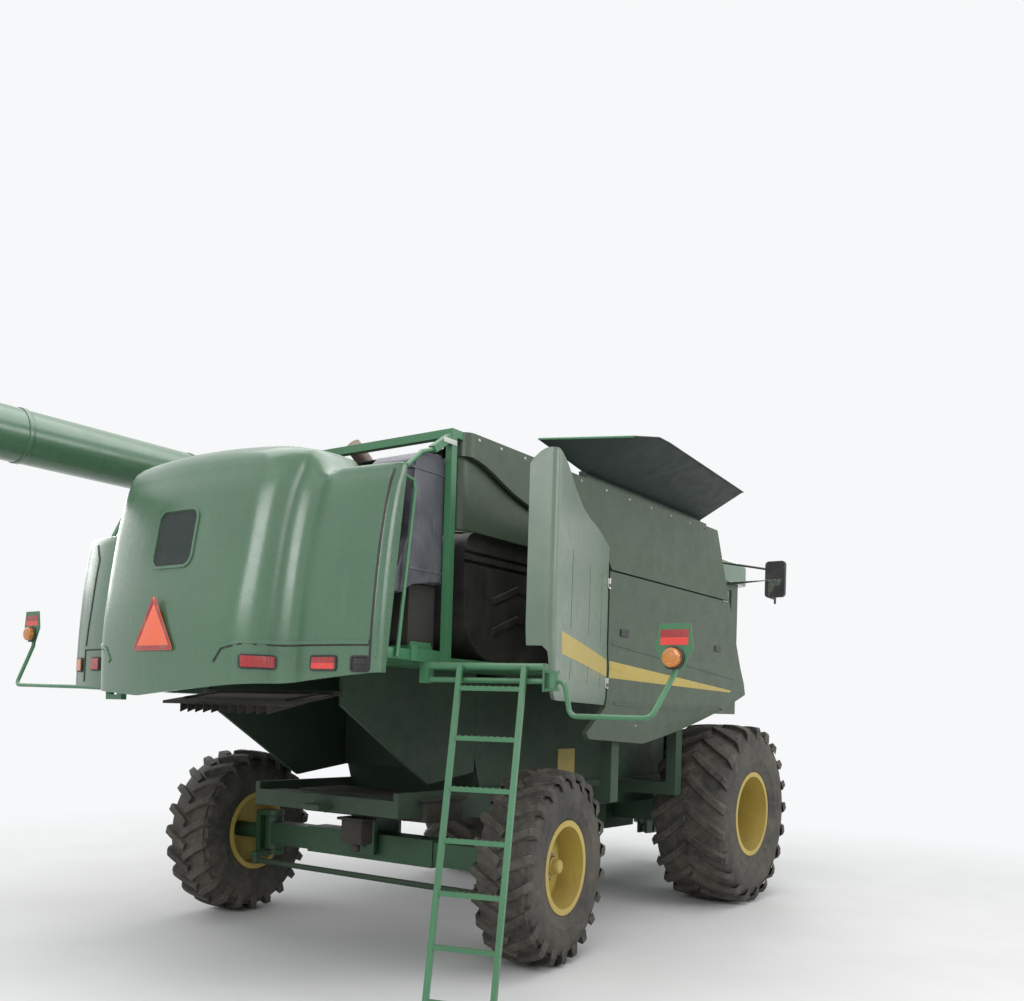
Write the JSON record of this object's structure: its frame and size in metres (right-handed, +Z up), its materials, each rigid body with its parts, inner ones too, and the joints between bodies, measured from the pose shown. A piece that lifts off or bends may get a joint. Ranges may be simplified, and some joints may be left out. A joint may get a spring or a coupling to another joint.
{
  "type": "combine harvester",
  "caption": "Self-propelled grain combine without a header: hollow tank, cab, steered rear wheels, unloading auger, rear hood, side shields, feeder house with lift cylinders.",
  "frame": {"origin": "on the ground below the middle of the whole outline, in the machine's middle plane", "axes": "+X forward, +Y to the machine's left, +Z up"},
  "size_m": [9.6, 6.55, 4.2187],
  "materials": {
    "green_paint": "dusty semi-gloss",
    "side_green": "matt with dust",
    "dark_green": "dirty matt",
    "yellow_paint": "dusty satin",
    "black_paint": "matt",
    "black_plastic": "moulded, satin",
    "tank_plastic": "moulded, dusty",
    "rubber": "dull",
    "tyre": "worn, dusty",
    "steel": "worn bright",
    "glass": "tinted",
    "red_lens": "clear red",
    "amber_lens": "clear amber",
    "orange_sign": "fluorescent",
    "seat_fabric": "woven"
  },
  "bodies": {
    "chassis": {"main_frame": "dark_green", "front_axle": "dark_green", "rear_axle": "green_paint", "separator_body": "dark_green", "discharge_chute": "dark_green", "chopper_tailboard": "dark_green", "grain_tank": "side_green", "upper_panels": "side_green", "lower_panels": "side_green", "engine_bay": "green_paint", "engine": "black_paint", "cooling_box": "dark_green", "fuel_tank": "tank_plastic", "air_duct": "black_plastic", "exhaust_stack": "steel", "rear_hood": "green_paint", "smv_triangle": "orange_sign", "red_lenses": "red_lens", "amber_lenses": "amber_lens", "rear_ladder": "green_paint", "tank_outriggers": "dark_green", "cab_shell": "green_paint", "cab_glass": "glass", "cab_roof": "green_paint", "cab_seat": "seat_fabric", "operator_platform": "black_paint", "mirrors": "black_plastic", "auger_elbow": "green_paint"},
    "feeder": {"feeder_house": "green_paint"},
    "auger": {"auger_tube": "green_paint", "auger_spout": "rubber"},
    "screen": {"rotary_screen": "steel"},
    "steering_rod": {"tie_rod": "dark_green"},
    "cab_entry": {"cab_door": "black_paint", "door_glass": "glass"},
    "ladder_front": {"entry_ladder": "black_paint"},
    "flap_front": {"tank_flap_front": "side_green"},
    "flap_rear": {"tank_flap_rear": "side_green"},
    "flap_right": {"tank_flap_right": "side_green"},
    "flap_left": {"tank_flap_left": "side_green"},
    "side_shield_right": {"shield_right": "side_green"},
    "lamp_arm_right": {"warning_arm_right": "green_paint", "arm_lamp_right": "amber_lens"},
    "steer_right": {"knuckle_right": "green_paint"},
    "barrel_right": {"lift_barrel_right": "green_paint"},
    "rod_right": {"lift_rod_right": "steel"},
    "front_wheel_right": {"front_tyre_right": "tyre", "front_rim_right": "yellow_paint"},
    "rear_wheel_right": {"rear_tyre_right": "tyre", "rear_rim_right": "yellow_paint"},
    "side_shield_left": {"shield_left": "side_green"},
    "lamp_arm_left": {"warning_arm_left": "green_paint", "arm_lamp_left": "amber_lens"},
    "steer_left": {"knuckle_left": "green_paint"},
    "barrel_left": {"lift_barrel_left": "green_paint"},
    "rod_left": {"lift_rod_left": "steel"},
    "front_wheel_left": {"front_tyre_left": "tyre", "front_rim_left": "yellow_paint"},
    "rear_wheel_left": {"rear_tyre_left": "tyre", "rear_rim_left": "yellow_paint"}
  },
  "joints": [
    {"name": "front_wheel_right_spin", "type": "hinge", "parent": "chassis", "child": "front_wheel_right", "pos_m": [2.14, -1.53, 0.915], "axis": [0, 1, 0], "continuous": true},
    {"name": "steer_right_turn", "type": "hinge", "parent": "chassis", "child": "steer_right", "pos_m": [-1.522, -1.25, 0.735], "axis": [0, 0, 1], "range_deg": [-31.9, 18.1]},
    {"name": "rear_wheel_right_spin", "type": "hinge", "parent": "steer_right", "child": "rear_wheel_right", "pos_m": [-1.47395, -1.6471, 0.735], "axis": [-0.1201, 0.9928, 0], "continuous": true},
    {"name": "front_wheel_left_spin", "type": "hinge", "parent": "chassis", "child": "front_wheel_left", "pos_m": [2.14, 1.53, 0.915], "axis": [0, 1, 0], "continuous": true},
    {"name": "steer_left_turn", "type": "hinge", "parent": "chassis", "child": "steer_left", "pos_m": [-1.522, 1.25, 0.735], "axis": [0, 0, 1], "range_deg": [-31.9, 18.1]},
    {"name": "rear_wheel_left_spin", "type": "hinge", "parent": "steer_left", "child": "rear_wheel_left", "pos_m": [-1.57005, 1.6471, 0.735], "axis": [-0.1201, 0.9928, 0], "continuous": true},
    {"name": "tie_rod_slide", "type": "slide", "parent": "chassis", "child": "steering_rod", "axis": [0, 1, 0], "range_m": [-0.16, 0.16]},
    {"name": "feeder_lift", "type": "hinge", "parent": "chassis", "child": "feeder", "pos_m": [2.7, 0, 1.5], "axis": [0, -1, 0], "range_deg": [-10, 16]},
    {"name": "lift_barrel_right_swing", "type": "hinge", "parent": "chassis", "child": "barrel_right", "pos_m": [2.32, -0.56, 0.64], "axis": [0, -1, 0], "range_deg": [-7.6, 12.1]},
    {"name": "lift_rod_right_slide", "type": "slide", "parent": "barrel_right", "child": "rod_right", "axis": [1, 0, 0], "range_m": [-0.1497, 0.2382]},
    {"name": "lift_barrel_left_swing", "type": "hinge", "parent": "chassis", "child": "barrel_left", "pos_m": [2.32, 0.56, 0.64], "axis": [0, -1, 0], "range_deg": [-7.6, 12.1]},
    {"name": "lift_rod_left_slide", "type": "slide", "parent": "barrel_left", "child": "rod_left", "axis": [1, 0, 0], "range_m": [-0.1497, 0.2382]},
    {"name": "auger_swing", "type": "hinge", "parent": "chassis", "child": "auger", "pos_m": [1.72, 1.985, 3.96], "axis": [0, 0, -1], "range_deg": [0, 100]},
    {"name": "screen_spin", "type": "hinge", "parent": "chassis", "child": "screen", "pos_m": [-1.58, 1.395, 2.88], "axis": [0, 1, 0], "continuous": true},
    {"name": "cab_door_swing", "type": "hinge", "parent": "chassis", "child": "cab_entry", "pos_m": [2.617, 0.833, 3], "axis": [0, 0, 1], "range_deg": [0, 75]},
    {"name": "entry_ladder_swing", "type": "hinge", "parent": "chassis", "child": "ladder_front", "pos_m": [4.04, 1.96, 1.93], "axis": [0, 0, -1], "range_deg": [0, 85]},
    {"name": "shield_right_swing", "type": "hinge", "parent": "chassis", "child": "side_shield_right", "pos_m": [-0.582, -1.66, 2.6], "axis": [0, 0, 1], "range_deg": [-20, 45]},
    {"name": "shield_left_swing", "type": "hinge", "parent": "chassis", "child": "side_shield_left", "pos_m": [-0.582, 1.66, 2.6], "axis": [0, 0, -1], "range_deg": [0, 65]},
    {"name": "lamp_arm_right_fold", "type": "hinge", "parent": "chassis", "child": "lamp_arm_right", "pos_m": [-2.565, -2.4, 2], "axis": [0, 0, -1], "range_deg": [0, 80]},
    {"name": "lamp_arm_left_fold", "type": "hinge", "parent": "chassis", "child": "lamp_arm_left", "pos_m": [-2.96, 1.69, 2], "axis": [0, 0, 1], "range_deg": [0, 80]},
    {"name": "flap_front_fold", "type": "hinge", "parent": "chassis", "child": "flap_front", "pos_m": [1.528, 0, 3.802], "axis": [0, -1, 0], "range_deg": [0, 140]},
    {"name": "flap_rear_fold", "type": "hinge", "parent": "chassis", "child": "flap_rear", "pos_m": [-0.92, 0, 3.802], "axis": [0, 1, 0], "range_deg": [0, 140]},
    {"name": "flap_right_fold", "type": "hinge", "parent": "chassis", "child": "flap_right", "pos_m": [0.14, -1.575, 3.84], "axis": [-1, 0, 0], "range_deg": [0, 135]},
    {"name": "flap_left_fold", "type": "hinge", "parent": "chassis", "child": "flap_left", "pos_m": [0.14, 1.575, 3.84], "axis": [1, 0, 0], "range_deg": [0, 110]}
  ],
  "couplings": [
    {"joint": "steer_left_turn", "follows": "steer_right_turn", "ratio": 1},
    {"joint": "tie_rod_slide", "follows": "steer_right_turn", "m_per_rad": -0.23},
    {"joint": "lift_barrel_right_swing", "follows": "feeder_lift", "ratio": 0.75},
    {"joint": "lift_rod_right_slide", "follows": "feeder_lift", "m_per_rad": 0.846},
    {"joint": "lift_barrel_left_swing", "follows": "feeder_lift", "ratio": 0.75},
    {"joint": "lift_rod_left_slide", "follows": "feeder_lift", "m_per_rad": 0.846}
  ]
}
